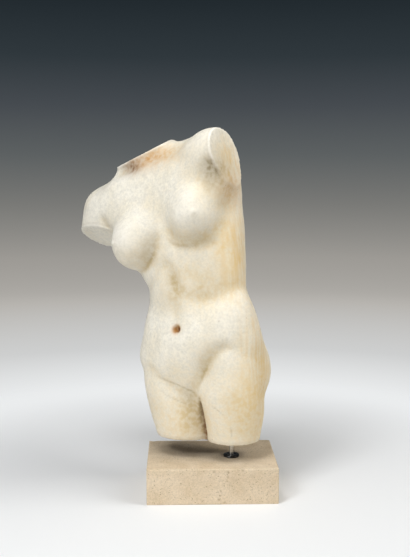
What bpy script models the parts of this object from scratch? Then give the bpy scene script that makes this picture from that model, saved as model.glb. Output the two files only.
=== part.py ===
"""Cast plaster torso of Venus on a steel rod, a dark collar and a limestone block.

Metres, +Z up. The origin is the middle of the block's underside, the block's
long front faces -Y, and the figure is turned on its rod towards -X.
"""

import math

import bmesh
import bpy
import numpy as np
from mathutils import Euler, Matrix, Vector

# Driving sizes, in metres and degrees
BASE_WIDTH = 0.210
BASE_DEPTH = 0.160
BASE_HEIGHT = 0.058
BASE_ARRIS = 0.0010

ROD_DIAMETER = 0.008
ROD_TIP = 0.0006
ROD_SOCKET_IN_BASE = 0.036
ROD_SOCKET_IN_TORSO = 0.060
ROD_OFFSET_X = 0.033
ROD_OFFSET_Y = -0.012
ROUND_SIDES = 32

COLLAR_DIAMETER = 0.026
COLLAR_THICKNESS = 0.0036
COLLAR_ROUNDING = 0.0008

FIT_GAP = 0.0003

TORSO_HEIGHT = 0.508
TORSO_STANDS_OFF = 0.030
TORSO_TURN = 35.0

# The figure is modelled in its own units: 508 of them make its height, so at
# the real size one unit is a millimetre. x runs to her left, y to her back, and
# z is up from the flat cut through the thighs.
UNITS_IN_HEIGHT = 508.0
UNIT = TORSO_HEIGHT / UNITS_IN_HEIGHT
ROD_IN_THIGH_X = 46.0
ROD_IN_THIGH_Y = 2.0

CLAY_VOXEL = 4.5
SOFT_ENDS = 12.0
TORSO_TRIANGLES = 9600

# Level ovals, each as height, middle x, middle y, half width, depth to the
# front, depth to the back, and turn in degrees.
OVALS = {
    "trunk": [
        (60, 6, -3, 66, 34, 46, 12),
        (95, 2, -3, 97, 50, 66, 12),
        (120, -10, -3, 108, 55, 70, 12),
        (145, -10, -3, 108, 57, 66, 11),
        (170, -6, -3, 103, 58, 57, 9),
        (195, -8, -2, 97, 57, 49, 7),
        (220, -14, 0, 92, 56, 45, 4),
        (245, -23, 1, 92, 56, 46, 2),
        (268, -33, 3, 96, 58, 50, 0),
        (300, -40, 5, 96, 61, 57, -2),
        (340, -51, 8, 97, 60, 62, -3),
        (380, -68, 11, 100, 56, 62, -3),
        (415, -88, 13, 96, 49, 57, -3),
        (445, -109, 12, 80, 42, 50, 0),
        (468, -127, 10, 64, 40, 46, 0),
        (494, -141, 8, 59, 42, 44, 0),
        (524, -150, 8, 57, 42, 44, 0),
    ],
    "left_thigh": [
        (-40, 48, 4, 41, 38, 39, 10),
        (0, 50, 3, 43, 41, 43, 10),
        (30, 52, 3, 46, 45, 48, 10),
        (62, 53, 3, 49, 49, 54, 10),
        (95, 51, 2, 48, 50, 60, 10),
        (130, 49, 2, 45, 46, 56, 10),
        (170, 44, 4, 38, 38, 44, 10),
    ],
    "right_thigh": [
        (-40, -34, -18, 40, 38, 40, 10),
        (0, -34, -16, 48, 42, 44, 10),
        (30, -40, -15, 53, 46, 48, 10),
        (62, -47, -12, 57, 50, 54, 10),
        (95, -54, -9, 58, 50, 56, 10),
        (130, -59, -5, 51, 46, 52, 10),
        (170, -54, -2, 42, 38, 42, 10),
    ],
}
THIGHS_FILLET = 6.0
THIGH_FRONT_FILLET = 8.0
GROIN_FILLET = 14.0

# The swells along the inner front of the thighs, as x, y, z and radius.
LEFT_THIGH_FRONT = [(34, -19, 106, 25), (37, -21, 82, 31), (42, -8, 36, 35), (48, 0, -20, 37)]
RIGHT_THIGH_FRONT = [(-22, -21, 92, 29), (-20, -20, 60, 29), (-16, -17, 20, 28), (-12, -14, -20, 27)]

# Round limbs: points as x, y, z and radius, and the fillet.
LIMBS = {
    "right_arm": ([(-218, 10, 366, 37), (-226, 2, 326, 36), (-232, -12, 262, 35)], 18),
    "right_shoulder": ([(-130, 18, 398, 38), (-176, 16, 390, 39), (-212, 13, 370, 38)], 24),
    "left_shoulder": ([(-90, 14, 426, 42), (-28, 10, 445, 36), (12, 3, 460, 34)], 28),
    "left_neck_slope": ([(-104, 14, 450, 26), (-66, 12, 459, 24), (-24, 8, 470, 25)], 16),
    "left_arm_root": ([(12, 11, 446, 26), (10, 18, 402, 25)], 14),
    "left_flank": ([(12, 23, 410, 28), (20, 20, 350, 29), (20, 14, 280, 29)], 34),
    "left_back_muscle": (
        [(4, 22, 130, 24), (-8, 20, 215, 22), (-24, 32, 300, 24), (-60, 44, 390, 22)], 22
    ),
    "right_back_muscle": (
        [(-10, 20, 130, 24), (-36, 18, 215, 22), (-58, 30, 300, 24), (-98, 44, 376, 22)], 22
    ),
}

# Round forms laid on the body: centre, radii, turn in degrees, and the fillet
# below and above.
FORMS = {
    "left_pectoral": ((-10, -22, 412), (58, 22, 44), (0, -22, 0), 36, 36),
    "right_pectoral": ((-150, -21, 372), (56, 23, 44), (0, -22, 0), 36, 36),
    "left_breast": ((-2, -40, 370), (36, 38, 42), (0, 0, 24), 14, 30),
    "right_breast": ((-111, -43, 320), (42, 43, 46), (0, 0, -24), 27, 34),
    "upper_belly": ((-28, -32, 236), (38, 28, 52), (0, -8, 0), 36, 36),
    "lower_belly": ((-9, -32, 158), (58, 32, 44), (0, -10, 0), 38, 38),
    "left_iliac_pad": ((38, -5, 202), (42, 40, 32), (0, -28, 0), 36, 22),
    "right_iliac_pad": ((-68, -12, 182), (28, 32, 30), (0, 16, 0), 36, 28),
    "pubis": ((-8, -29, 97), (24, 18, 25), (0, 0, 0), 12, 26),
    "left_buttock": ((41, 37, 108), (48, 50, 50), (0, 0, 10), 12, 34),
    "right_buttock": ((-46, 24, 98), (48, 50, 50), (0, 0, 10), 12, 34),
    "left_shoulder_blade": ((-24, 46, 398), (40, 27, 50), (0, -24, 0), 20, 28),
    "right_shoulder_blade": ((-150, 44, 358), (40, 27, 50), (0, -12, 0), 20, 28),
    "left_arm_front": ((24, -14, 466), (49, 35, 41), (0, 0, 0), 20, 20),
    "left_arm_back": ((22, 3, 453), (49, 27, 40), (0, 0, 0), 20, 20),
}

# Carved lines: the side they are seen from, their points as distance across
# (x, or y on a flank) and height, half width, and depth. A negative depth is
# a ridge.
LINES = {
    "belly_furrow": ("front", [(-36, 286), (-27, 262), (-21, 232), (-16, 204)], 13, 4.5),
    "belly_furrow_low": ("front", [(-9, 172), (2, 144), (10, 114)], 13, 1.2),
    "left_breast_fold": ("front", [(-36, 338), (-29, 324), (-12, 317), (10, 317), (30, 324)], 7, 3.5),
    "right_breast_fold": ("front", [(-112, 270), (-92, 276), (-75, 289), (-64, 308), (-61, 330)], 7, 3.5),
    "left_rib_arch": ("front", [(-32, 264), (-10, 242), (18, 236), (44, 241), (62, 254)], 12, 3.2),
    "right_rib_arch": ("front", [(-48, 284), (-66, 262), (-84, 246), (-104, 240)], 11, 3.0),
    "left_groin": ("front", [(58, 160), (48, 150), (36, 132), (22, 112), (8, 94)], 9, 5.5),
    "right_groin": ("front", [(-76, 115), (-60, 106), (-42, 96), (-20, 86), (2, 80)], 8, 2.6),
    "left_armpit": ("front", [(30, 454), (40, 446), (47, 437), (53, 424)], 9, 5.0),
    "left_armpit_hollow": ("front", [(46, 430), (48, 410), (44, 386)], 14, 2.0),
    "right_armpit": ("front", [(-186, 352), (-176, 334), (-168, 314)], 9, 5.0),
    "left_collarbone": ("front", [(-80, 446), (-46, 458), (-14, 478)], 8, -2.0),
    "right_collarbone": ("front", [(-96, 442), (-136, 430), (-178, 412)], 8, -2.0),
    "throat": ("front", [(-96, 462), (-128, 446), (-160, 436)], 14, 6.0),
    "spine_low": ("back", [(-2, 150), (-13, 190), (-21, 222), (-38, 290)], 13, 6.5),
    "spine_high": ("back", [(-38, 290), (-62, 352), (-86, 410), (-106, 452)], 13, 6.0),
    "cleft": ("back", [(0, 44), (-1, 80), (-1, 110), (-2, 132)], 9, 9.0),
    "left_buttock_fold": ("back", [(2, 60), (22, 52), (46, 50), (64, 55)], 9, 5.0),
    "right_buttock_fold": ("back", [(-4, 52), (-26, 44), (-54, 43), (-76, 50)], 9, 5.0),
    "left_dimple": ("back", [(20, 164), (19, 160)], 9, 2.5),
    "right_dimple": ("back", [(-28, 160), (-28, 156)], 9, 2.5),
    "left_blade_edge": ("back", [(-58, 350), (-66, 385), (-64, 425)], 10, 3.5),
    "right_blade_edge": ("back", [(-118, 316), (-116, 352), (-118, 395)], 10, 3.5),
    "left_blade_low": ("back", [(-50, 338), (-26, 340), (4, 356)], 10, 3.0),
    "right_blade_low": ("back", [(-124, 310), (-150, 304), (-178, 316)], 10, 3.0),
    "left_hip_hollow": ("left", [(22, 70), (16, 104), (6, 138)], 18, 3.5),
    "right_hip_hollow": ("right", [(8, 66), (2, 98), (-6, 130)], 18, 3.5),
}

# The navel: centre, radius and depth.
NAVEL = ((-13, -70, 188), 7.0, 6.0)

# Saw cuts: a point on the flat face, the direction that is cut away, and the
# width, depth and thickness of the saw block.
CUTS = {
    "thighs": ((0, 0, 0), (0, 0, -1), (300, 300, 80)),
    "neck": ((-118, 10, 474.5), (-0.36, -0.28, 0.89), (200, 170, 90)),
    "left_arm": ((36, 0, 470), (0.97, 0.0, 0.23), (160, 170, 120)),
    "right_arm": ((-230, 0, 322), (-0.05, -0.52, -0.85), (110, 160, 120)),
}


def blend(first, second, radius):
    """Joins two distance fields with a fillet of about the given radius."""
    share = np.clip(0.5 + 0.5 * (second - first) / radius, 0.0, 1.0)
    return second * (1 - share) + first * share - radius * share * (1 - share)


def blend_cut(first, second, radius):
    """Keeps what is inside both fields, with a rounded edge."""
    return -blend(-first, -second, radius)


def smooth_through(places, values, at):
    """A smooth curve through the values at the given places, read at many places."""
    places = np.asarray(places, float)
    values = np.asarray(values, float)
    slopes = np.gradient(values, places, axis=0)
    place = np.clip(at, places[0], places[-1])
    row = np.clip(np.searchsorted(places, place) - 1, 0, len(places) - 2)
    step = (places[row + 1] - places[row])[:, None]
    t = ((place - places[row]) / step[:, 0])[:, None]
    return (
        (2 * t**3 - 3 * t**2 + 1) * values[row]
        + (t**3 - 2 * t**2 + t) * step * slopes[row]
        + (3 * t**2 - 2 * t**3) * values[row + 1]
        + (t**3 - t**2) * step * slopes[row + 1]
    )


def smooth_path(points, pieces):
    """A smooth curve through a few points, each stretch in the same number of pieces."""
    points = np.array(points, float)
    places = np.arange(len(points))
    return smooth_through(places, points, np.linspace(0, places[-1], pieces * places[-1] + 1))


def ovals(points, rows):
    """A stack of level ovals, smooth from row to row, with rounded ends."""
    table = np.array(rows, float)
    middle_x, middle_y, wide, front, back, turn = smooth_through(
        table[:, 0], table[:, 1:], points[:, 2]
    ).T
    cos = np.cos(np.radians(turn))
    sin = np.sin(np.radians(turn))
    dx = points[:, 0] - middle_x
    dy = points[:, 1] - middle_y
    across = dx * cos + dy * sin
    along = dy * cos - dx * sin
    depth = np.where(along < 0, front, back)
    reach = np.hypot(across / wide, along / depth)
    slope = np.hypot(across / wide**2, along / depth**2)
    side = reach * (reach - 1) / np.maximum(slope, 1e-6)
    ends = np.maximum(table[0, 0] - points[:, 2], points[:, 2] - table[-1, 0])
    return blend_cut(side, ends, SOFT_ENDS)


def ellipsoid(points, centre, radii, turn):
    """Distance to an ellipsoid whose axes are turned by three angles in degrees."""
    axes = np.array(Euler([math.radians(a) for a in turn]).to_matrix())
    local = (points - np.array(centre, float)) @ axes
    radii = np.array(radii, float)
    reach = np.linalg.norm(local / radii, axis=1)
    slope = np.linalg.norm(local / radii**2, axis=1)
    return reach * (reach - 1) / np.maximum(slope, 1e-6)


def limb(points, path):
    """Distance to a round limb along a smooth curve through (x, y, z, radius) points."""
    fine = smooth_path(path, 3)
    nearest = np.full(len(points), 1e9)
    for start, end in zip(fine, fine[1:]):
        along = end[:3] - start[:3]
        offset = points - start[:3]
        t = np.clip(offset @ along / (along @ along), 0, 1)
        gap = np.linalg.norm(offset - t[:, None] * along, axis=1)
        nearest = np.minimum(nearest, gap - (start[3] + t * (end[3] - start[3])))
    return nearest


def line_cut(points, middle, side, path, width, depth):
    """How deep a carved line cuts at each point, as seen from one side of the body."""
    across, faces = (0, 1) if side in ("front", "back") else (1, 0)
    sign = 1 if side in ("back", "left") else -1
    seen = np.clip(0.5 + sign * (points[:, faces] - middle[:, faces]) / 30, 0, 1)
    seen_points = points[:, (across, 2)]
    fine = smooth_path(path, 3)
    nearest = np.full(len(points), 1e9)
    for start, end in zip(fine, fine[1:]):
        along = end - start
        offset = seen_points - start
        t = np.clip(offset @ along / (along @ along), 0, 1)
        nearest = np.minimum(nearest, ((offset - t[:, None] * along) ** 2).sum(1))
    return depth * seen * np.exp(-nearest / width**2)


def figure(points):
    """Distance to the figure's surface before it is cut, in its own units."""
    left_thigh = blend(
        ovals(points, OVALS["left_thigh"]), limb(points, LEFT_THIGH_FRONT), THIGH_FRONT_FILLET
    )
    right_thigh = blend(
        ovals(points, OVALS["right_thigh"]), limb(points, RIGHT_THIGH_FRONT), THIGH_FRONT_FILLET
    )
    thighs = blend(left_thigh, right_thigh, THIGHS_FILLET)
    field = blend(ovals(points, OVALS["trunk"]), thighs, GROIN_FILLET)
    for path, fillet in LIMBS.values():
        field = blend(field, limb(points, path), fillet)
    for centre, radii, turn, below, above in FORMS.values():
        rise = np.clip((points[:, 2] - centre[2]) / radii[2] * 0.5 + 0.7, 0, 1)
        fillet = below + (above - below) * rise
        field = blend(field, ellipsoid(points, centre, radii, turn), fillet)
    trunk = np.array(OVALS["trunk"], float)
    middle = smooth_through(trunk[:, 0], trunk[:, 1:3], points[:, 2])
    for side, path, width, depth in LINES.values():
        field = field + line_cut(points, middle, side, path, width, depth)
    centre, radius, depth = NAVEL
    from_navel = ((points - np.array(centre, float)) ** 2).sum(1)
    return field + depth * np.exp(-from_navel / radius**2)


def clay_lumps():
    """Overlapping balls and oval stacks that stand close to the figure's surface."""
    clay = bmesh.new()
    for centre, radii, turn, _, _ in FORMS.values():
        place = Matrix.LocRotScale(
            Vector(centre), Euler([math.radians(a) for a in turn]), Vector(radii)
        )
        bmesh.ops.create_icosphere(clay, subdivisions=3, radius=1, matrix=place)
    for path, _ in LIMBS.values():
        for x, y, z, radius in smooth_path(path, 4):
            place = Matrix.Translation((x, y, z)) @ Matrix.Scale(radius, 4)
            bmesh.ops.create_icosphere(clay, subdivisions=2, radius=1, matrix=place)
    for rows in OVALS.values():
        rings = []
        for z, x, y, wide, front, back, turn in rows:
            lie = Matrix.Translation((x, y, z)) @ Matrix.Rotation(math.radians(turn), 4, "Z")
            oval = bmesh.ops.create_circle(clay, segments=48, radius=1)["verts"]
            for vert in oval:
                depth = front if vert.co.y < 0 else back
                vert.co = lie @ Vector((wide * vert.co.x, depth * vert.co.y, 0))
            rings.append({e for v in oval for e in v.link_edges})
        for low, high in zip(rings, rings[1:]):
            bmesh.ops.bridge_loops(clay, edges=list(low | high))
        bmesh.ops.holes_fill(clay, edges=list(rings[0] | rings[-1]))
    bmesh.ops.recalc_face_normals(clay, faces=clay.faces)
    return clay


def settle(mesh, steps):
    """Moves each vertex along the field's slope until it lies on the surface."""
    points = np.empty(len(mesh.vertices) * 3)
    mesh.vertices.foreach_get("co", points)
    points = points.reshape(-1, 3)
    reach = 0.05
    most = 6.0
    for _ in range(steps):
        here = figure(points)
        slope = np.stack(
            [(figure(points + reach * axis) - here) / reach for axis in np.eye(3)], 1
        )
        steep = np.maximum((slope**2).sum(1), 0.05)
        move = -(here / steep)[:, None] * slope
        length = np.linalg.norm(move, axis=1, keepdims=True)
        points = points + move * np.minimum(1.0, most / np.maximum(length, 1e-9))
    mesh.vertices.foreach_set("co", points.ravel())
    mesh.update()


def remeshed(mesh, voxel):
    """The outer skin of overlapping closed shapes, in even faces."""
    holder = bpy.data.objects.new("clay", mesh)
    bpy.context.scene.collection.objects.link(holder)
    remesh = holder.modifiers.new("skin", "REMESH")
    remesh.mode = "VOXEL"
    remesh.voxel_size = voxel
    graph = bpy.context.evaluated_depsgraph_get()
    skin = bpy.data.meshes.new_from_object(holder.evaluated_get(graph))
    bpy.data.objects.remove(holder)
    return skin


def relax(mesh, rounds):
    """Evens out the faces by moving each vertex towards its neighbours."""
    work = bmesh.new()
    work.from_mesh(mesh)
    for _ in range(rounds):
        bmesh.ops.smooth_vert(
            work, verts=work.verts, factor=0.5, use_axis_x=True, use_axis_y=True, use_axis_z=True
        )
    work.to_mesh(mesh)
    work.free()


def figure_mesh():
    """The figure's mesh before it is cut, in its own units."""
    clay = clay_lumps()
    lumps = bpy.data.meshes.new("lumps")
    clay.to_mesh(lumps)
    clay.free()
    skin = remeshed(lumps, CLAY_VOXEL)
    settle(skin, 2)
    skin = remeshed(skin, CLAY_VOXEL)
    relax(skin, 2)
    settle(skin, 3)
    return skin


def plain_material(name, colour, roughness, metallic=0.0):
    """A material of one colour, given as linear red, green and blue."""
    material = bpy.data.materials.new(name)
    material.use_nodes = True
    shader = material.node_tree.nodes["Principled BSDF"]
    shader.inputs["Base Color"].default_value = (*colour, 1.0)
    shader.inputs["Roughness"].default_value = roughness
    shader.inputs["Metallic"].default_value = metallic
    return material


def add_object(name, mesh, material):
    """Puts a mesh into the scene under its node name."""
    mesh.materials.clear()
    mesh.materials.append(material)
    made = bpy.data.objects.new(name, mesh)
    bpy.context.scene.collection.objects.link(made)
    return made


def cut_with(made, shape):
    """Takes a helper solid, given in the object's own frame, away from an object."""
    cutter = bpy.data.objects.new(shape.name, shape)
    bpy.context.scene.collection.objects.link(cutter)
    cutter.hide_render = True
    cutter.display_type = "WIRE"
    cutter.parent = made
    cut = made.modifiers.new(shape.name, "BOOLEAN")
    cut.operation = "DIFFERENCE"
    cut.object = cutter


def mesh_of(work, name):
    """Turns a bmesh into a mesh."""
    mesh = bpy.data.meshes.new(name)
    work.to_mesh(mesh)
    work.free()
    return mesh


def saw_block(name, point, away, size):
    """A block whose one face lies on a flat cut, on the side that is cut away."""
    width, depth, thickness = size
    lie = Vector(away).to_track_quat("Z", "Y").to_matrix().to_4x4()
    middle = Matrix.Translation(Vector(point)) @ lie @ Matrix.Translation((0, 0, thickness / 2))
    block = bmesh.new()
    bmesh.ops.create_cube(
        block, size=1, matrix=middle @ Matrix.Diagonal((width, depth, thickness, 1))
    )
    block.transform(Matrix.Scale(UNIT, 4))
    return mesh_of(block, name + "_saw")


def upright_bar(name, radius, bottom, top, rounding=0.0):
    """A round bar along Z between two heights, its ends rounded off."""
    bar = bmesh.new()
    bmesh.ops.create_cone(
        bar,
        cap_ends=True,
        segments=ROUND_SIDES,
        radius1=radius,
        radius2=radius,
        depth=top - bottom,
        matrix=Matrix.Translation((0, 0, (top + bottom) / 2)),
    )
    if rounding:
        rims = [e for e in bar.edges if any(len(f.verts) > 4 for f in e.link_faces)]
        bmesh.ops.bevel(
            bar, geom=rims, offset=rounding, segments=2, profile=0.5, affect="EDGES", material=-1
        )
    return mesh_of(bar, name)


def rod_socket(name, bottom, top):
    """A helper bar that bores a socket for the rod, with the fit's gap around it."""
    return upright_bar(name, ROD_DIAMETER / 2 + FIT_GAP, bottom, top)


def torso():
    """The figure, turned on its rod above the block."""
    shape = figure_mesh()
    shape.transform(Matrix.Scale(UNIT, 4))
    plaster = plain_material("waxed_plaster", (0.80, 0.72, 0.57), 0.55)
    made = add_object("torso", shape, plaster)
    thin = made.modifiers.new("fewer_faces", "DECIMATE")
    thin.ratio = min(1.0, TORSO_TRIANGLES / sum(len(f.vertices) - 2 for f in shape.polygons))
    for name, (point, away, size) in CUTS.items():
        cut_with(made, saw_block(name, point, away, size))
    rod_in_figure = Vector((ROD_IN_THIGH_X * UNIT, ROD_IN_THIGH_Y * UNIT, 0.0))
    socket = rod_socket("torso_socket", -ROD_DIAMETER, ROD_SOCKET_IN_TORSO)
    socket.transform(Matrix.Translation(rod_in_figure))
    cut_with(made, socket)
    turn = Matrix.Rotation(math.radians(-TORSO_TURN), 4, "Z")
    stand = Vector((ROD_OFFSET_X, ROD_OFFSET_Y, BASE_HEIGHT + TORSO_STANDS_OFF))
    made.location = stand - turn @ rod_in_figure
    made.rotation_euler = (0.0, 0.0, math.radians(-TORSO_TURN))
    return made


def support_rod():
    """The steel rod, short of both sockets' ends by the fit's gap."""
    bottom = BASE_HEIGHT - ROD_SOCKET_IN_BASE + FIT_GAP
    top = BASE_HEIGHT + TORSO_STANDS_OFF + ROD_SOCKET_IN_TORSO - FIT_GAP
    shape = upright_bar("support_rod", ROD_DIAMETER / 2, bottom, top, ROD_TIP)
    steel = plain_material("polished_steel", (0.62, 0.62, 0.60), 0.25, 1.0)
    made = add_object("support_rod", shape, steel)
    made.location = (ROD_OFFSET_X, ROD_OFFSET_Y, 0.0)
    return made


def rod_collar():
    """The dark round collar at the rod's foot."""
    bottom = BASE_HEIGHT + FIT_GAP
    top = bottom + COLLAR_THICKNESS
    shape = upright_bar("rod_collar", COLLAR_DIAMETER / 2, bottom, top, COLLAR_ROUNDING)
    black = plain_material("black_steel", (0.02, 0.02, 0.02), 0.30, 1.0)
    made = add_object("rod_collar", shape, black)
    cut_with(made, rod_socket("collar_hole", bottom - ROD_DIAMETER, top + ROD_DIAMETER))
    made.location = (ROD_OFFSET_X, ROD_OFFSET_Y, 0.0)
    return made


def base_block():
    """The limestone block with the rod's socket in its top."""
    block = bmesh.new()
    size = Matrix.Diagonal((BASE_WIDTH, BASE_DEPTH, BASE_HEIGHT, 1))
    middle = Matrix.Translation((0, 0, BASE_HEIGHT / 2))
    bmesh.ops.create_cube(block, size=1, matrix=middle @ size)
    bmesh.ops.bevel(
        block,
        geom=block.edges[:],
        offset=BASE_ARRIS,
        segments=2,
        profile=0.5,
        affect="EDGES",
        material=-1,
    )
    stone = plain_material("limestone", (0.62, 0.53, 0.40), 0.80)
    made = add_object("base_block", mesh_of(block, "base_block"), stone)
    socket = rod_socket("base_socket", BASE_HEIGHT - ROD_SOCKET_IN_BASE, BASE_HEIGHT + ROD_DIAMETER)
    socket.transform(Matrix.Translation((ROD_OFFSET_X, ROD_OFFSET_Y, 0.0)))
    cut_with(made, socket)
    return made


def main():
    """Builds every piece."""
    for old in list(bpy.data.objects):
        bpy.data.objects.remove(old)
    for made in (base_block(), rod_collar(), support_rod(), torso()):
        made.data.shade_smooth()
        made.data.set_sharp_from_angle(angle=math.radians(35))


if __name__ == "__main__":
    main()
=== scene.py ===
"""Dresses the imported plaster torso, its steel rod, dark collar and limestone block.

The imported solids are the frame. Each class below makes one sub-assembly of the
piece around them, and each finish is a small frozen class. Lengths in the
classes are metres in the frame, or millimetres in the figure's own space: x to
her left, y to her back, z up from the flat cut through the thighs.
"""

import logging
import math
from dataclasses import dataclass, field
from enum import Enum

import bmesh
import bpy
import numpy as np
from mathutils import Matrix, Vector, noise


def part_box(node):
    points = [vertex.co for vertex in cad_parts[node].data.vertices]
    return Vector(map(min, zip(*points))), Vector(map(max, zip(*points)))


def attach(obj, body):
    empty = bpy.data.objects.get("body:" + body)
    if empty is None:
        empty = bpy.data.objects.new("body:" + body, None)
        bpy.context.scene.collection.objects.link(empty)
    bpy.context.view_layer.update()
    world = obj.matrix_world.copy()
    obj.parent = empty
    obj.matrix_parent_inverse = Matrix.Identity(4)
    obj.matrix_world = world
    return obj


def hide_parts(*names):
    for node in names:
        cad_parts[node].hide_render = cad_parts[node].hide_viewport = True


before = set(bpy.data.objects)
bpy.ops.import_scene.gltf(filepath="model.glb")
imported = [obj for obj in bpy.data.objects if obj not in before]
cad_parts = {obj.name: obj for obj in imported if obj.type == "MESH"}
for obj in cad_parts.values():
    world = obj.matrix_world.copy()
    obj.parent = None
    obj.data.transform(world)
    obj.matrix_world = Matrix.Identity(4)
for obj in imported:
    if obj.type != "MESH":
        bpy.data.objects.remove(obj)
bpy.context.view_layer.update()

LOG = logging.getLogger("torso_on_block")

# A pattern's scale is this number over its size in millimetres.
PER_METRE = 1000.0

# A noise pattern stays mostly between these two values.
NOISE_LOW = 0.38
NOISE_HIGH = 0.62


def linear(hex_colour: str) -> tuple[float, float, float, float]:
    """Turns an sRGB hex colour into linear red, green, blue and a full alpha.

    Args:
        hex_colour: six hex digits after a hash.

    Returns:
        Four numbers for a colour socket.
    """
    parts = [int(hex_colour[i : i + 2], 16) / 255 for i in (1, 3, 5)]
    bright = [p / 12.92 if p <= 0.04045 else ((p + 0.055) / 1.055) ** 2.4 for p in parts]
    return (*bright, 1.0)


def add_node(
    tree: bpy.types.NodeTree,
    kind: str,
    inputs: dict | None = None,
    stops: tuple[tuple[float, str], ...] | None = None,
    **settings: object,
) -> bpy.types.Node:
    """Adds a node with its settings, and sets or links its inputs.

    Args:
        tree: the material's node tree.
        kind: the node's type name.
        inputs: socket name or number to a value, or to the socket that feeds it.
        stops: places and hex colours of a colour ramp.
        settings: the node's own properties.

    Returns:
        The new node.
    """
    node = tree.nodes.new(kind)
    for name, value in settings.items():
        setattr(node, name, value)
    for name, value in (inputs or {}).items():
        if isinstance(value, bpy.types.NodeSocket):
            tree.links.new(value, node.inputs[name])
        else:
            node.inputs[name].default_value = value
    if stops:
        ramp = node.color_ramp
        while len(ramp.elements) < len(stops):
            ramp.elements.new(0.5)
        for element, (place, colour) in zip(ramp.elements, stops):
            element.position = place
            element.color = linear(colour)
    return node


def new_material(name: str) -> tuple[bpy.types.Material, bpy.types.Node]:
    """Makes a material and finds its shader.

    Args:
        name: what the material is called.

    Returns:
        The material and its Principled node.
    """
    material = bpy.data.materials.new(name)
    material.use_nodes = True
    return material, material.node_tree.nodes["Principled BSDF"]


class Tone(Enum):
    """The waxes, wear, painted shade and painted highlights that the plaster's vertices carry, by
    attribute name.
    """

    # Ochre, grime and umber are partly wax and soiling, partly painted shade; rubbed is partly
    # wear, partly painted highlight; the last one is painted shade alone.
    OCHRE_AND_SHADE = "ochre_wax_and_shade"
    STREAK = "honey_streaks"
    GRIME_AND_SHADE = "grime_and_shade"
    RUST = "rust"
    UMBER_AND_SHADE = "umber_and_shade"
    RUBBED_AND_HIGHLIGHT = "rubbed"
    PAINTED_SHADE = "painted_shade"


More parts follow.
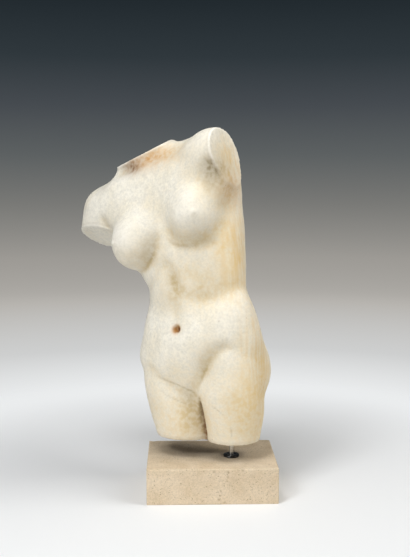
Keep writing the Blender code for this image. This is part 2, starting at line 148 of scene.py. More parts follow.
@dataclass(frozen=True)
class WaxedPlaster:
    """Casting plaster, poured in a mould, then waxed and toned.

    The wax leaves it satin and warm. Brown wax stays in the hollows and on the saw
    cuts, and rubbing brings the raised forms back to near white. Part of the brown is
    painted shade in the creases, in the hollows, under the forms and on the underside,
    and part of the white is painted highlight. Pairs give the least and the most of a
    value.
    """

    cream: str = "#EAE5D6"
    ivory: str = "#F0EDE2"
    # The ochre, grime and umber tones are partly wax and soiling, partly painted shade in creases,
    # hollows and under the forms; the rubbed white is partly wear, partly painted highlight; the
    # near-black last one is painted shade alone.
    ochre_and_shade: str = "#D9C294"
    honey: str = "#D9B97C"
    grime_and_shade: str = "#948669"
    rust: str = "#C08A48"
    umber_and_shade: str = "#6B4420"
    rubbed: str = "#F1EEE6"
    # Near black: painted shade on the underside and in the navel's core.
    painted_shade: str = "#211B15"
    cloud_mm: float = 42.0
    mottle_mm: float = 7.0
    speck_mm: float = 3.4
    grain_mm: float = 1.6
    streak_mm: float = 5.5
    streak_stretch: float = 20.0
    mottle_light: tuple[float, float] = (0.915, 1.04)
    speck_light: tuple[float, float] = (0.93, 1.04)
    patchy: tuple[float, float] = (0.7, 1.3)
    streaky: tuple[float, float] = (0.15, 1.75)
    bubble_mm: float = 11.0
    bubbles_left_out: float = 0.62
    bubble_reach: float = 0.085
    bubble_tone: float = 0.55
    roughness: tuple[float, float] = (0.44, 0.62)
    specular: float = 0.2

    def material(self) -> bpy.types.Material:
        """Builds the plaster from its vertex tones and solid patterns.

        Returns:
            The finished material.
        """
        made, shader = new_material("waxed_plaster")
        tree = made.node_tree
        at = add_node(tree, "ShaderNodeTexCoord").outputs["Object"]
        noises = self.noises(tree, at)
        colour = self.waxed(tree, self.bare(tree, noises), noises)
        pinhole = self.pinholes(tree, at)
        held = add_node(
            tree, "ShaderNodeMath", {0: pinhole, 1: self.bubble_tone}, operation="MULTIPLY"
        ).outputs[0]
        colour = add_node(
            tree,
            "ShaderNodeMix",
            {0: held, 6: colour, 7: linear(self.umber_and_shade)},
            data_type="RGBA",
        ).outputs[2]
        tree.links.new(colour, shader.inputs["Base Color"])

        least, most = self.roughness
        dull = add_node(
            tree, "ShaderNodeMapRange", {0: noises["mottle"], 1: 0.3, 2: 0.7, 3: least, 4: most}
        ).outputs[0]
        tree.links.new(dull, shader.inputs["Roughness"])
        shader.inputs["Specular IOR Level"].default_value = self.specular
        tree.links.new(self.bumps(tree, noises, pinhole), shader.inputs["Normal"])
        return made

    def noises(
        self, tree: bpy.types.NodeTree, at: bpy.types.NodeSocket
    ) -> dict[str, bpy.types.NodeSocket]:
        """Makes the solid noises that break up the tones.

        Args:
            tree: the material's node tree.
            at: the object coordinates.

        Returns:
            Each noise by name. The streaks are drawn out downwards.
        """
        upright = add_node(
            tree, "ShaderNodeMapping", {"Vector": at, "Scale": (1.0, 1.0, 1 / self.streak_stretch)}
        ).outputs["Vector"]
        made = {}
        for name, where, size, detail in (
            ("cloud", at, self.cloud_mm, 4.0),
            ("mottle", at, self.mottle_mm, 5.0),
            ("speck", at, self.speck_mm, 3.0),
            ("grain", at, self.grain_mm, 2.0),
            ("streak", upright, self.streak_mm, 3.0),
        ):
            made[name] = add_node(
                tree,
                "ShaderNodeTexNoise",
                {"Vector": where, "Scale": PER_METRE / size, "Detail": detail},
            ).outputs["Fac"]
        return made

    def bare(
        self, tree: bpy.types.NodeTree, noises: dict[str, bpy.types.NodeSocket]
    ) -> bpy.types.NodeSocket:
        """Clouds the cast from cream to ivory, and mottles it.

        Args:
            tree: the material's node tree.
            noises: the solid noises by name.

        Returns:
            The colour of the plaster under its waxes.
        """
        cloud = add_node(
            tree, "ShaderNodeMapRange", {0: noises["cloud"], 1: NOISE_LOW, 2: NOISE_HIGH}
        ).outputs[0]
        colour = add_node(
            tree,
            "ShaderNodeMix",
            {0: cloud, 6: linear(self.cream), 7: linear(self.ivory)},
            data_type="RGBA",
        ).outputs[2]
        for name, (dark, light) in (("mottle", self.mottle_light), ("speck", self.speck_light)):
            blotch = add_node(
                tree,
                "ShaderNodeMapRange",
                {0: noises[name], 1: NOISE_LOW, 2: NOISE_HIGH, 3: dark, 4: light},
            ).outputs[0]
            colour = add_node(
                tree, "ShaderNodeVectorMath", {0: colour, "Scale": blotch}, operation="SCALE"
            ).outputs[0]
        return colour

    def waxed(
        self,
        tree: bpy.types.NodeTree,
        colour: bpy.types.NodeSocket,
        noises: dict[str, bpy.types.NodeSocket],
    ) -> bpy.types.NodeSocket:
        """Lays the waxes and the wear over the bare plaster, one on another.

        Args:
            tree: the material's node tree.
            colour: the bare plaster's colour.
            noises: the solid noises by name.

        Returns:
            The toned colour.
        """
        breaks = {}
        for name, (least, most) in (("mottle", self.patchy), ("streak", self.streaky)):
            breaks[name] = add_node(
                tree,
                "ShaderNodeMapRange",
                {0: noises[name], 1: NOISE_LOW, 2: NOISE_HIGH, 3: least, 4: most},
            ).outputs[0]
        for tone, shade, pattern in (
            (Tone.OCHRE_AND_SHADE, self.ochre_and_shade, "mottle"),
            (Tone.STREAK, self.honey, "streak"),
            (Tone.GRIME_AND_SHADE, self.grime_and_shade, "mottle"),
            (Tone.RUST, self.rust, "mottle"),
            (Tone.UMBER_AND_SHADE, self.umber_and_shade, "mottle"),
            (Tone.RUBBED_AND_HIGHLIGHT, self.rubbed, "mottle"),
            (Tone.PAINTED_SHADE, self.painted_shade, "mottle"),
        ):
            amount = add_node(
                tree, "ShaderNodeAttribute", attribute_name=tone.value
            ).outputs["Fac"]
            share = add_node(
                tree,
                "ShaderNodeMath",
                {0: amount, 1: breaks[pattern]},
                operation="MULTIPLY",
                use_clamp=True,
            ).outputs[0]
            colour = add_node(
                tree, "ShaderNodeMix", {0: share, 6: colour, 7: linear(shade)}, data_type="RGBA"
            ).outputs[2]
        return colour

    def pinholes(
        self, tree: bpy.types.NodeTree, at: bpy.types.NodeSocket
    ) -> bpy.types.NodeSocket:
        """Opens the air bubbles that broke at the surface and now hold dark wax.

        Args:
            tree: the material's node tree.
            at: the object coordinates.

        Returns:
            One inside a pinhole and zero outside.
        """
        cell = add_node(
            tree, "ShaderNodeTexVoronoi", {"Vector": at, "Scale": PER_METRE / self.bubble_mm}
        )
        pick = add_node(tree, "ShaderNodeSeparateColor", {0: cell.outputs["Color"]}).outputs[0]
        reach = add_node(
            tree,
            "ShaderNodeMapRange",
            {0: pick, 1: self.bubbles_left_out, 2: 1.0, 3: 0.0, 4: self.bubble_reach},
        ).outputs[0]
        return add_node(
            tree,
            "ShaderNodeMath",
            {0: cell.outputs["Distance"], 1: reach},
            operation="LESS_THAN",
        ).outputs[0]

    def bumps(
        self,
        tree: bpy.types.NodeTree,
        noises: dict[str, bpy.types.NodeSocket],
        pinhole: bpy.types.NodeSocket,
    ) -> bpy.types.NodeSocket:
        """Adds the fine grain, the soft unevenness of the wax and the sunk pinholes.

        Args:
            tree: the material's node tree.
            noises: the solid noises by name.
            pinhole: where the pinholes are.

        Returns:
            The bumped normal.
        """
        normal = None
        for height, strength, depth_mm, sunk in (
            (noises["grain"], 0.55, 0.12, False),
            (noises["mottle"], 0.6, 0.6, False),
            (pinhole, 0.8, 0.5, True),
        ):
            inputs = {"Strength": strength, "Distance": depth_mm / PER_METRE, "Height": height}
            if normal is not None:
                inputs["Normal"] = normal
            normal = add_node(tree, "ShaderNodeBump", inputs, invert=sunk).outputs[0]
        return normal


@dataclass(frozen=True)
class HonedLimestone:
    """Beige limestone, sawn and honed: dull, with dark grains and small pits.

    Each fleck has its cell in millimetres, the reach of the largest as a share of
    the cell, and the share of cells that stay bare.
    """

    sand: str = "#CDBA9E"
    pale: str = "#D7C6AD"
    fleck: str = "#5A4B37"
    # Soiling and painted shade in the pits.
    pit_soil_and_shade: str = "#7D6A4E"
    cloud_mm: float = 26.0
    grain_mm: float = 2.2
    sandy: tuple[float, float] = (0.90, 1.06)
    flecks: tuple[tuple[float, float, float], ...] = ((4.6, 0.25, 0.45), (2.07, 0.36, 0.62))
    fleck_tone: float = 0.45
    grit_mm: float = 0.2
    roughness: float = 0.78
    specular: float = 0.12

    def material(self) -> bpy.types.Material:
        """Builds the stone from clouds, sandy grain, two sizes of fleck and, in its pits,
        soiling with painted shade.

        Returns:
            The finished material.
        """
        made, shader = new_material("honed_limestone")
        tree = made.node_tree
        at = add_node(tree, "ShaderNodeTexCoord").outputs["Object"]
        cloud, grain = (
            add_node(
                tree,
                "ShaderNodeTexNoise",
                {"Vector": at, "Scale": PER_METRE / size, "Detail": detail},
            ).outputs["Fac"]
            for size, detail in ((self.cloud_mm, 5.0), (self.grain_mm, 3.0))
        )
        clouded = add_node(tree, "ShaderNodeMapRange", {0: cloud, 1: 0.35, 2: 0.65}).outputs[0]
        colour = add_node(
            tree,
            "ShaderNodeMix",
            {0: clouded, 6: linear(self.sand), 7: linear(self.pale)},
            data_type="RGBA",
        ).outputs[2]
        dark, light = self.sandy
        sandy = add_node(
            tree, "ShaderNodeMapRange", {0: grain, 1: 0.35, 2: 0.65, 3: dark, 4: light}
        ).outputs[0]
        colour = add_node(
            tree, "ShaderNodeVectorMath", {0: colour, "Scale": sandy}, operation="SCALE"
        ).outputs[0]
        for size, most, bare in self.flecks:
            cell = add_node(
                tree, "ShaderNodeTexVoronoi", {"Vector": at, "Scale": PER_METRE / size}
            )
            pick = add_node(tree, "ShaderNodeSeparateColor", {0: cell.outputs["Color"]})
            reach = add_node(
                tree,
                "ShaderNodeMapRange",
                {0: pick.outputs[0], 1: bare, 2: 1.0, 3: 0.0, 4: most},
            ).outputs[0]
            spot = add_node(
                tree,
                "ShaderNodeMath",
                {0: cell.outputs["Distance"], 1: reach},
                operation="LESS_THAN",
            ).outputs[0]
            faint = add_node(
                tree, "ShaderNodeMath", {0: spot, 1: self.fleck_tone}, operation="MULTIPLY"
            ).outputs[0]
            colour = add_node(
                tree,
                "ShaderNodeMix",
                {0: faint, 6: colour, 7: linear(self.fleck)},
                data_type="RGBA",
            ).outputs[2]
        # The pits darken with soiling and painted shade.
        sunk = add_node(tree, "ShaderNodeAttribute", attribute_name="grime_and_shade").outputs["Fac"]
        colour = add_node(
            tree, "ShaderNodeMix", {0: sunk, 6: colour, 7: linear(self.pit_soil_and_shade)}, data_type="RGBA"
        ).outputs[2]
        tree.links.new(colour, shader.inputs["Base Color"])
        shader.inputs["Roughness"].default_value = self.roughness
        shader.inputs["Specular IOR Level"].default_value = self.specular
        rough = add_node(
            tree,
            "ShaderNodeBump",
            {"Strength": 0.6, "Distance": self.grit_mm / PER_METRE, "Height": grain},
        ).outputs[0]
        tree.links.new(rough, shader.inputs["Normal"])
        return made


@dataclass(frozen=True)
class TurnedSteel:
    """Bright drawn steel bar, turned: hard, near-white glints broken by fine rings.

    The lathe's own rings are too fine to show, so they are drawn coarser.
    """

    tone: str = "#D2D1CD"
    roughness: tuple[float, float] = (0.24, 0.34)
    ring_mm: float = 2.83
    ring_depth_mm: float = 0.03

    def material(self) -> bpy.types.Material:
        """Builds the steel with its rings as a faint bump.

        Returns:
            The finished material.
        """
        made, shader = new_material("turned_steel")
        tree = made.node_tree
        shader.inputs["Base Color"].default_value = linear(self.tone)
        shader.inputs["Metallic"].default_value = 1.0
        at = add_node(tree, "ShaderNodeTexCoord").outputs["Object"]
        # At a scale of 1, the texture's bands lie a twentieth of a full turn apart.
        bands = math.tau / 20 * PER_METRE / self.ring_mm
        ring = add_node(
            tree,
            "ShaderNodeTexWave",
            {"Vector": at, "Scale": bands, "Distortion": 0.6},
            bands_direction="Z",
        ).outputs["Fac"]
        least, most = self.roughness
        dull = add_node(tree, "ShaderNodeMapRange", {0: ring, 3: least, 4: most}).outputs[0]
        tree.links.new(dull, shader.inputs["Roughness"])
        bump = add_node(
            tree,
            "ShaderNodeBump",
            {"Strength": 0.25, "Distance": self.ring_depth_mm / PER_METRE, "Height": ring},
        ).outputs[0]
        tree.links.new(bump, shader.inputs["Normal"])
        return made


@dataclass(frozen=True)
class BlackedSteel:
    """A steel washer under a thin black coat: dark, semi-gloss, with a few worn smudges."""

    black: str = "#131211"
    worn: str = "#4A4743"
    smudge_mm: float = 3.85
    smudge_tone: float = 0.35
    roughness: tuple[float, float] = (0.22, 0.36)

    def material(self) -> bpy.types.Material:
        """Builds the black coat with faint handling marks.

        Returns:
            The finished material.
        """
        made, shader = new_material("blacked_steel")
        tree = made.node_tree
        at = add_node(tree, "ShaderNodeTexCoord").outputs["Object"]
        smudge = add_node(
            tree,
            "ShaderNodeTexNoise",
            {"Vector": at, "Scale": PER_METRE / self.smudge_mm, "Detail": 4.0},
        ).outputs["Fac"]
        rubbed = add_node(
            tree,
            "ShaderNodeMapRange",
            {0: smudge, 1: 0.55, 2: 0.8, 3: 0.0, 4: self.smudge_tone},
        ).outputs[0]
        colour = add_node(
            tree,
            "ShaderNodeMix",
            {0: rubbed, 6: linear(self.black), 7: linear(self.worn)},
            data_type="RGBA",
        ).outputs[2]
        tree.links.new(colour, shader.inputs["Base Color"])
        least, most = self.roughness
        dull = add_node(
            tree, "ShaderNodeMapRange", {0: smudge, 1: 0.3, 2: 0.7, 3: least, 4: most}
        ).outputs[0]
        tree.links.new(dull, shader.inputs["Roughness"])
        return made


class Side(Enum):
    """The side of the figure that a carved line is seen from."""

    FRONT = (0, -1, 0)
    BACK = (0, 1, 0)
    LEFT = (1, 0, 0)
    RIGHT = (-1, 0, 0)


@dataclass(frozen=True)
class Groove:
    """A carved line, in millimetres of the figure's space.

    Its path runs across and up as seen from its side, and dark soiling and painted
    shade of the crease gather in it.
    """

    side: Side
    path: tuple[tuple[float, float], ...]
    width: float
    depth: float
    # How much soiling and painted shade darken the groove.
    grime_and_shade: float = 0.0


@dataclass(frozen=True)
class Dent:
    """A round hollow, or a knob where its depth is negative, in the figure's space."""

    centre: tuple[float, float, float]
    radius: float
    depth: float


@dataclass(frozen=True)
class Stain:
    """A soft-edged patch of one tone, in the figure's space."""

    tone: Tone
    centre: tuple[float, float, float]
    radii: tuple[float, float, float]
    strength: float


@dataclass(frozen=True)
class HollowWaxAndShade:
    """How one tone gathers in hollows, or on rises where its shares are negative. In the
    hollows it is partly wax and partly painted shade; on the rises it is partly
    rubbed wear and partly painted highlight.

    Each share is an amount for a millimetre of depth, with the most that it adds.
    """

    tone: Tone
    fine: float
    fine_most: float
    broad: float
    broad_most: float


@dataclass(frozen=True)
class Cut:
    """A flat saw cut: how far its face reaches, how it is worked and how much is waxed."""

    point: tuple[float, float, float]
    normal: tuple[float, float, float]
    reach: float
    streak: float
    rough: float
    toned: float

    @property
    def away(self) -> np.ndarray:
        """The direction straight out of the cut face."""
        return np.array(self.normal, float) / np.linalg.norm(self.normal)


@dataclass
class FigureSpace:
    """The figure's own space of millimetres, set on its rod in the frame."""

    turn: float = -35.0
    rod: tuple[float, float] = (46.0, 2.0)
    matrix: Matrix = field(init=False)

    def __post_init__(self) -> None:
        """Finds the figure's place from the rod and the torso's lowest point."""
        low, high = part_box("support_rod")
        turned = Matrix.Rotation(math.radians(self.turn), 4, "Z")
        origin = (low + high) / 2 - turned @ Vector((*self.rod, 0.0)) * 0.001
        origin.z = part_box("torso")[0].z
        self.matrix = Matrix.Translation(origin) @ turned @ Matrix.Scale(0.001, 4)

    def read(self, work: bmesh.types.BMesh) -> tuple[np.ndarray, np.ndarray]:
        """Reads a mesh's vertices in the figure's space.

        Args:
            work: a mesh in the frame, with its normals up to date.

        Returns:
            The places in millimetres and the normals, one to a row.
        """
        back = np.array(self.matrix.inverted())
        turned = np.array(Matrix.Rotation(math.radians(-self.turn), 3, "Z"))
        places = np.array([vert.co for vert in work.verts])
        normals = np.array([vert.normal for vert in work.verts])
        return places @ back[:3, :3].T + back[:3, 3], normals @ turned.T


def ripple(points: np.ndarray, wavelengths: tuple[float, float, float], shift: float) -> np.ndarray:
    """Smooth noise from about -1 to 1.

    Args:
        points: places, in millimetres.
        wavelengths: the noise's size along x, y and z.
        shift: moves the pattern, so that two noises differ.

    Returns:
        One number for each place.
    """
    scaled = points / np.array(wavelengths, float) + shift
    return np.array([noise.noise(p) for p in scaled.tolist()])


def gap_to_line(points: np.ndarray, start: np.ndarray, end: np.ndarray) -> np.ndarray:
    """How far each point lies from a straight stretch of line.

    Args:
        points: places, one to a row.
        start: where the line starts.
        end: where it ends.

    Returns:
        One distance for each place.
    """
    run = end - start
    along = np.clip((points - start) @ run / (run @ run), 0, 1)
    return np.linalg.norm(points - start - along[:, None] * run, axis=1)


@dataclass
class PlasterTorso:
    """The cast figure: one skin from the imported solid, carved and toned.

    The solid's facets are smoothed away up to the rims of the saw cuts, which stay
    flat, and the neck's far edge is worn round. Lengths are millimetres in the
    figure's space, but the skin's voxel is in metres.
    """

    voxel: float = 0.00225
    facet_rounds: int = 12
    rim_rounds: int = 3
    rim_mm: float = 4.0
    worn_edge: tuple[tuple[float, float, float], ...] = ((-76, 0, 488), (-106, 50, 490))
    worn_reaches: tuple[float, ...] = (15, 11, 7)
    worn_rounds: int = 10
    cuts: tuple[Cut, ...] = (
        Cut((0, 0, 0), (0, 0, -1), 200, 0.0, 0.25, 1.0),
        Cut((-118, 10, 474.5), (-0.36, -0.28, 0.89), 95, 0.0, 0.35, 1.0),
        Cut((36, 0, 470), (0.97, 0.0, 0.23), 80, 0.45, 0.15, 1.0),
        Cut((-230, 0, 322), (-0.05, -0.52, -0.85), 70, 0.0, 0.20, 0.5),
    )
    grooves: tuple[Groove, ...] = (
        Groove(
            Side.FRONT, ((-45, 331), (-34, 323), (-20, 319), (-2, 318), (13, 321)), 3.0, 0.8, 0.12
        ),
        Groove(Side.FRONT, ((-100, 273), (-86, 278), (-72, 292), (-63, 308)), 3.2, 0.7, 0.08),
        Groove(Side.FRONT, ((37, 134), (26, 117), (18, 99), (13, 84)), 3.2, 1.2, 0.12),
        Groove(Side.FRONT, ((-61, 103), (-39, 97), (-19, 93), (-1, 85), (10, 78)), 1.7, 0.7, 0.22),
        Groove(
            Side.FRONT, ((14, 72), (13, 58), (12, 44), (14, 30), (17, 16), (19, 0)), 3.0, 3.6, 0.9
        ),
        Groove(Side.FRONT, ((31, 450), (37, 443), (42, 434), (46, 424)), 5.0, 1.0, 0.45),
        Groove(Side.FRONT, ((40, 64), (46, 62), (52, 58), (61, 51)), 0.9, 0.35, 0.30),
        Groove(Side.FRONT, ((69, 33), (71, 24), (69, 14)), 0.9, 0.35, 0.30),
        Groove(Side.FRONT, ((-55, 82), (-40, 74), (-30, 70), (-9, 61)), 1.0, 0.30, 0.20),
        Groove(Side.BACK, ((0, 40), (-1, 80), (-1, 110), (-2, 126)), 2.6, 1.6, 0.35),
    )
    dents: tuple[Dent, ...] = (
        Dent((-15, -66, 187), 5.0, 7.0),
        Dent((21, -70, 375), 9.0, -1.0),
        Dent((20, -72, 375), 4.0, -2.2),
        Dent((-133, -78, 321), 9.0, -0.8),
        Dent((-134, -80, 321), 4.0, -1.8),
        Dent((84, -21, 190), 1.9, 0.9),
        Dent((84, -20, 183), 2.1, 1.0),
        Dent((69, -38, 158), 2.1, 1.0),
        Dent((84, -23, 147), 1.9, 0.9),
    )
    # Most of the grime, ochre and umber patches are painted shade with some wax in it: under and
    # between the breasts, over the ribs, in the armpit, the groin, the crotch and the slit between
    # the thighs. The rust, the honey streaks, the ochre on the flank and hip and the navel's brown
    # are the cast's own stains, and the neck's hollow is partly stain, partly painted shade. The
    # rubbed patches on the breasts are partly painted highlight, and the near-black dot in the
    # navel is painted shade.
    stains: tuple[Stain, ...] = (
        Stain(Tone.UMBER_AND_SHADE, (-134, -23, 443), (20, 40, 11), 0.80),
        Stain(Tone.RUST, (-120, -25, 450), (38, 40, 15), 0.60),
        Stain(Tone.RUST, (-83, -20, 464), (38, 40, 13), 0.60),
        Stain(Tone.OCHRE_AND_SHADE, (-66, -20, 464), (60, 40, 22), 0.65),
        Stain(Tone.RUST, (48, 0, 408), (13, 30, 26), 0.42),
        Stain(Tone.UMBER_AND_SHADE, (49, -4, 418), (7, 20, 10), 0.12),
        Stain(Tone.GRIME_AND_SHADE, (30, -44, 446), (13, 40, 13), 0.78),
        Stain(Tone.GRIME_AND_SHADE, (34, -38, 426), (14, 40, 26), 0.50),
        Stain(Tone.OCHRE_AND_SHADE, (32, -38, 420), (24, 40, 36), 0.55),
        # A near-black dot: painted shade in the navel's core.
        Stain(Tone.PAINTED_SHADE, (-13, -66, 185), (2.6, 40, 2.6), 0.90),
        Stain(Tone.RUST, (-16, -66, 186), (6.4, 40, 6.4), 1.50),
        Stain(Tone.UMBER_AND_SHADE, (-14, -66, 186), (4.2, 40, 4.2), 1.30),
        Stain(Tone.GRIME_AND_SHADE, (-30, -60, 252), (20, 40, 36), 0.34),
        Stain(Tone.OCHRE_AND_SHADE, (-28, -60, 250), (26, 40, 38), 0.49),
        Stain(Tone.GRIME_AND_SHADE, (20, -48, 266), (38, 40, 32), 0.15),
        Stain(Tone.OCHRE_AND_SHADE, (14, -54, 252), (46, 40, 30), 0.39),
        Stain(Tone.OCHRE_AND_SHADE, (14, -50, 284), (50, 60, 40), 0.28),
        Stain(Tone.GRIME_AND_SHADE, (2, -50, 328), (32, 40, 12), 0.21),
        Stain(Tone.OCHRE_AND_SHADE, (4, -50, 336), (38, 40, 22), 0.35),
        Stain(Tone.GRIME_AND_SHADE, (-70, -60, 318), (15, 40, 28), 0.28),
        Stain(Tone.GRIME_AND_SHADE, (-84, -66, 298), (30, 40, 18), 0.23),
        Stain(Tone.OCHRE_AND_SHADE, (-80, -66, 306), (36, 40, 32), 0.42),
        Stain(Tone.GRIME_AND_SHADE, (19, -71, 362), (16, 30, 15), 0.10),
        Stain(Tone.GRIME_AND_SHADE, (33, -54, 140), (17, 40, 30), 0.21),
        Stain(Tone.OCHRE_AND_SHADE, (34, -54, 144), (26, 40, 42), 0.32),
        Stain(Tone.GRIME_AND_SHADE, (-2, -48, 76), (14, 40, 16), 0.38),
        Stain(Tone.OCHRE_AND_SHADE, (-8, -50, 36), (36, 50, 40), 0.45),
        Stain(Tone.GRIME_AND_SHADE, (0, -44, 34), (16, 50, 34), 0.21),
        Stain(Tone.GRIME_AND_SHADE, (-50, -56, 60), (30, 50, 20), 0.07),
        # Umber along the slit between the thighs: painted shade in the crease.
        Stain(Tone.UMBER_AND_SHADE, (14, -30, 44), (5, 14, 34), 0.68),
        Stain(Tone.UMBER_AND_SHADE, (17, -28, 10), (5, 14, 20), 0.68),
        Stain(Tone.OCHRE_AND_SHADE, (80, -36, 70), (20, 50, 60), 0.42),
        Stain(Tone.OCHRE_AND_SHADE, (50, -18, 328), (20, 46, 50), 0.32),
        Stain(Tone.OCHRE_AND_SHADE, (58, -8, 300), (26, 46, 90), 0.55),
        Stain(Tone.STREAK, (58, 0, 310), (22, 40, 84), 0.55),
        Stain(Tone.STREAK, (104, 6, 120), (30, 46, 110), 0.50),
        Stain(Tone.OCHRE_AND_SHADE, (104, 6, 110), (34, 46, 120), 0.63),
        Stain(Tone.OCHRE_AND_SHADE, (50, 0, 455), (16, 44, 56), 0.60),
        Stain(Tone.STREAK, (44, 10, 462), (16, 34, 44), 0.50),
        Stain(Tone.RUBBED_AND_HIGHLIGHT, (10, -72, 386), (18, 30, 16), 0.15),
        Stain(Tone.RUBBED_AND_HIGHLIGHT, (-118, -80, 332), (22, 30, 20), 0.64),
        Stain(Tone.RUBBED_AND_HIGHLIGHT, (60, -36, 208), (26, 40, 20), 0.15),
    )
    dent_reach: tuple[float, float, float] = (1.0, 0.3, 1.0)
    swell: float = 0.35
    tooling: float = 0.12
    rasp: float = 0.35
    chip: float = 3.2
    bore_top: float = 64.0
    bore_unsmoothed: float = 6.5
    bore_uncarved: float = 6.0
    hollow_rounds: tuple[int, int] = (10, 66)
    # Hollows take wax and painted shade, and rises take rubbed white that is partly painted
    # highlight.
    hollow_waxes_and_shade: tuple[HollowWaxAndShade, ...] = (
        HollowWaxAndShade(Tone.GRIME_AND_SHADE, 0.04, 0.10, 0.03, 0.12),
        HollowWaxAndShade(Tone.OCHRE_AND_SHADE, 0.08, 0.20, 0.07, 0.25),
        HollowWaxAndShade(Tone.RUBBED_AND_HIGHLIGHT, -0.30, 0.20, -0.03, 0.10),
    )
    ochre_all_over: float = 0.07
    ochre_below: float = 0.28
    # A warm painted shade on the surfaces that face down.
    painted_shade_underneath: float = 0.25
    ochre_clouds: float = 0.14
    ochre_behind: float = 0.15
    # Each cut's rim is rubbed white, partly wear and partly a painted highlight along the edge, and
    # a thin darker line runs a few millimetres inside it.
    rim_rubbed_and_highlight: float = 0.65
    rim_dark_line: float = 0.22
    rim_width: float = 1.6
    rim_dark_line_in: float = 4.2
    space: FigureSpace = field(default_factory=FigureSpace)

    def skin(self) -> bpy.types.Mesh:
        """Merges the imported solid's loose triangles and remeshes them evenly.

        Returns:
            The bare skin.
        """
        work = bmesh.new()
        work.from_mesh(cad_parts["torso"].data)
        bmesh.ops.remove_doubles(work, verts=work.verts, dist=1e-6)
        merged = bpy.data.meshes.new("torso_merged")
        work.to_mesh(merged)
        work.free()
        holder = bpy.data.objects.new("torso_holder", merged)
        bpy.context.scene.collection.objects.link(holder)
        remesh = holder.modifiers.new("even_skin", "REMESH")
        remesh.mode = "VOXEL"
        remesh.voxel_size = self.voxel
        graph = bpy.context.evaluated_depsgraph_get()
        mesh = bpy.data.meshes.new_from_object(holder.evaluated_get(graph))
        bpy.data.objects.remove(holder)
        return mesh

    def cut_depths(self, points: np.ndarray) -> np.ndarray:
        """How far each point lies outside each cut's plane, in millimetres.

        Args:
            points: places in the figure's space.

        Returns:
            One row per point and one column per cut; far points read -1000.
        """
        columns = []
        for cut in self.cuts:
            offset = points - np.array(cut.point, float)
            height = offset @ cut.away
            sideways = np.linalg.norm(offset - height[:, None] * cut.away, axis=1)
            columns.append(np.where(sideways < cut.reach, height, -1000.0))
        return np.stack(columns, 1)

    def in_bore(self, points: np.ndarray, reach: float) -> np.ndarray:
        """Which points lie within a distance of the rod's axis, low in the cast.

        Args:
            points: places in the figure's space.
            reach: the distance, in millimetres.

        Returns:
            True or false for each place.
        """
        from_axis = np.hypot(*(points[:, :2] - np.array(self.space.rod)).T)
        return (from_axis < reach) & (points[:, 2] < self.bore_top)

    def round_off(self, work: bmesh.types.BMesh) -> None:
        """Smooths the solid's facets away and keeps the saw cuts flat.

        Args:
            work: the skin, changed in place.
        """
        work.normal_update()
        points, facing = self.space.read(work)
        depths = self.cut_depths(points)
        on_cut = np.zeros(len(points), bool)
        for cut, depth in zip(self.cuts, depths.T):
            flat = (np.abs(depth) < 1.0) & (facing @ cut.away > 0.75)
            points[flat] -= depth[flat][:, None] * cut.away
            on_cut |= flat
        for vert, place in zip(work.verts, points.tolist()):
            vert.co = self.space.matrix @ Vector(place)
        free = ~(on_cut | self.in_bore(points, self.bore_unsmoothed))
        deep = free & (depths.max(1) < -self.rim_mm)
        passes = [(free, self.rim_rounds), (deep, self.facet_rounds)]
        gaps = gap_to_line(points, *np.array(self.worn_edge, float))
        passes += [(gaps < reach, self.worn_rounds) for reach in self.worn_reaches]
        for chosen, rounds in passes:
            group = [vert for vert, keep in zip(work.verts, chosen) if keep]
            for _ in range(rounds):
                bmesh.ops.smooth_vert(
                    work, verts=group, factor=0.5, use_axis_x=True, use_axis_y=True, use_axis_z=True
                )

    def groove_share(self, groove: Groove, points: np.ndarray, facing: np.ndarray) -> np.ndarray:
        """How fully a groove is cut at each point.

        Args:
            groove: the carved line.
            points: places in the figure's space.
            facing: normals in the figure's space.

        Returns:
            From 0 to 1 for each place, fading towards the groove's ends.
        """
        along_x = groove.side in (Side.FRONT, Side.BACK)
        flat = points[:, (0 if along_x else 1, 2)]
        seen = np.clip(facing @ np.array(groove.side.value, float) * 2.0 + 0.3, 0, 1)
        path = np.array(groove.path, float)
        stretches = zip(path, path[1:])
        nearest = np.min([gap_to_line(flat, *stretch) for stretch in stretches], axis=0)
        ends = np.min([np.linalg.norm(flat - tip, axis=1) for tip in path[[0, -1]]], axis=0)
        fade = np.clip(ends / (4 * groove.width), 0.25, 1)
        return seen * fade * np.exp(-((nearest / groove.width) ** 2))

    def relief(self, points: np.ndarray, facing: np.ndarray) -> np.ndarray:
        """How far each vertex moves out along its normal, in millimetres.

        Args:
            points: places in the figure's space.
            facing: normals in the figure's space.

        Returns:
            One move for each place: swell, tool marks, rasped flank, grooves, dents,
            the texture of the cuts and the chips in their rims.
        """
        move = self.swell * ripple(points, (24, 24, 30), 3.1)
        move += self.tooling * ripple(points, (8, 8, 9), 11.7)
        flank = np.clip((facing[:, 0] - 0.55) * 4, 0, 1) * np.clip((points[:, 2] - 190) / 40, 0, 1)
        move += self.rasp * flank * ripple(points, (200, 5.0, 60), 5.3)
        for groove in self.grooves:
            move -= groove.depth * self.groove_share(groove, points, facing)
        for dent in self.dents:
            gap = (points - np.array(dent.centre, float)) * np.array(self.dent_reach)
            move -= dent.depth * np.exp(-(gap**2).sum(1) / dent.radius**2)
        chips = self.chip * np.clip(ripple(points, (9, 9, 9), 21.0) - 0.28, 0, 1)
        streaks = ripple(points, (4, 3.2, 70), 8.0) + 0.5 * ripple(points, (2, 1.6, 30), 9.0)
        grit = ripple(points, (5, 5, 5), 14.0)
        for cut, depth in zip(self.cuts, self.cut_depths(points).T):
            on_face = (np.abs(depth) < 0.6) & (facing @ cut.away > 0.8)
            move = np.where(on_face, cut.streak * streaks + cut.rough * grit, move)
            move -= chips * np.exp(-((depth + 0.5) ** 2) / 4.0) * ~on_face
        return move

